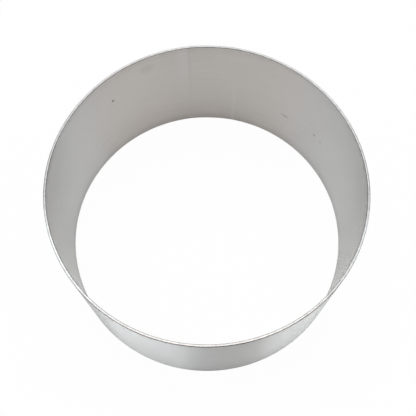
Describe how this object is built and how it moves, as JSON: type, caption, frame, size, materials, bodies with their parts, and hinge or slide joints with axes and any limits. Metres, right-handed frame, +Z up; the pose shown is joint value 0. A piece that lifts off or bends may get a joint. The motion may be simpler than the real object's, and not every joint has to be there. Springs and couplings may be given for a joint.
{
  "type": "mousse ring",
  "caption": "Straight-sided round mousse ring of thin satin steel, open at top and bottom, rolled from one strip with a butt-welded seam.",
  "frame": {"origin": "centre of the ring at its bottom edge, on the surface that it stands on", "axes": "+Z up along the ring's axis, -Y towards the viewer, seam at the back near +Y"},
  "size_m": [0.1016, 0.1016, 0.045],
  "materials": {
    "sheet": "fine satin, grain running round the ring",
    "weld": "dressed weld, brushed across the sheet's grain"
  },
  "bodies": {
    "root": {"band": "sheet", "weld_seam": "weld"}
  },
  "joints": []
}
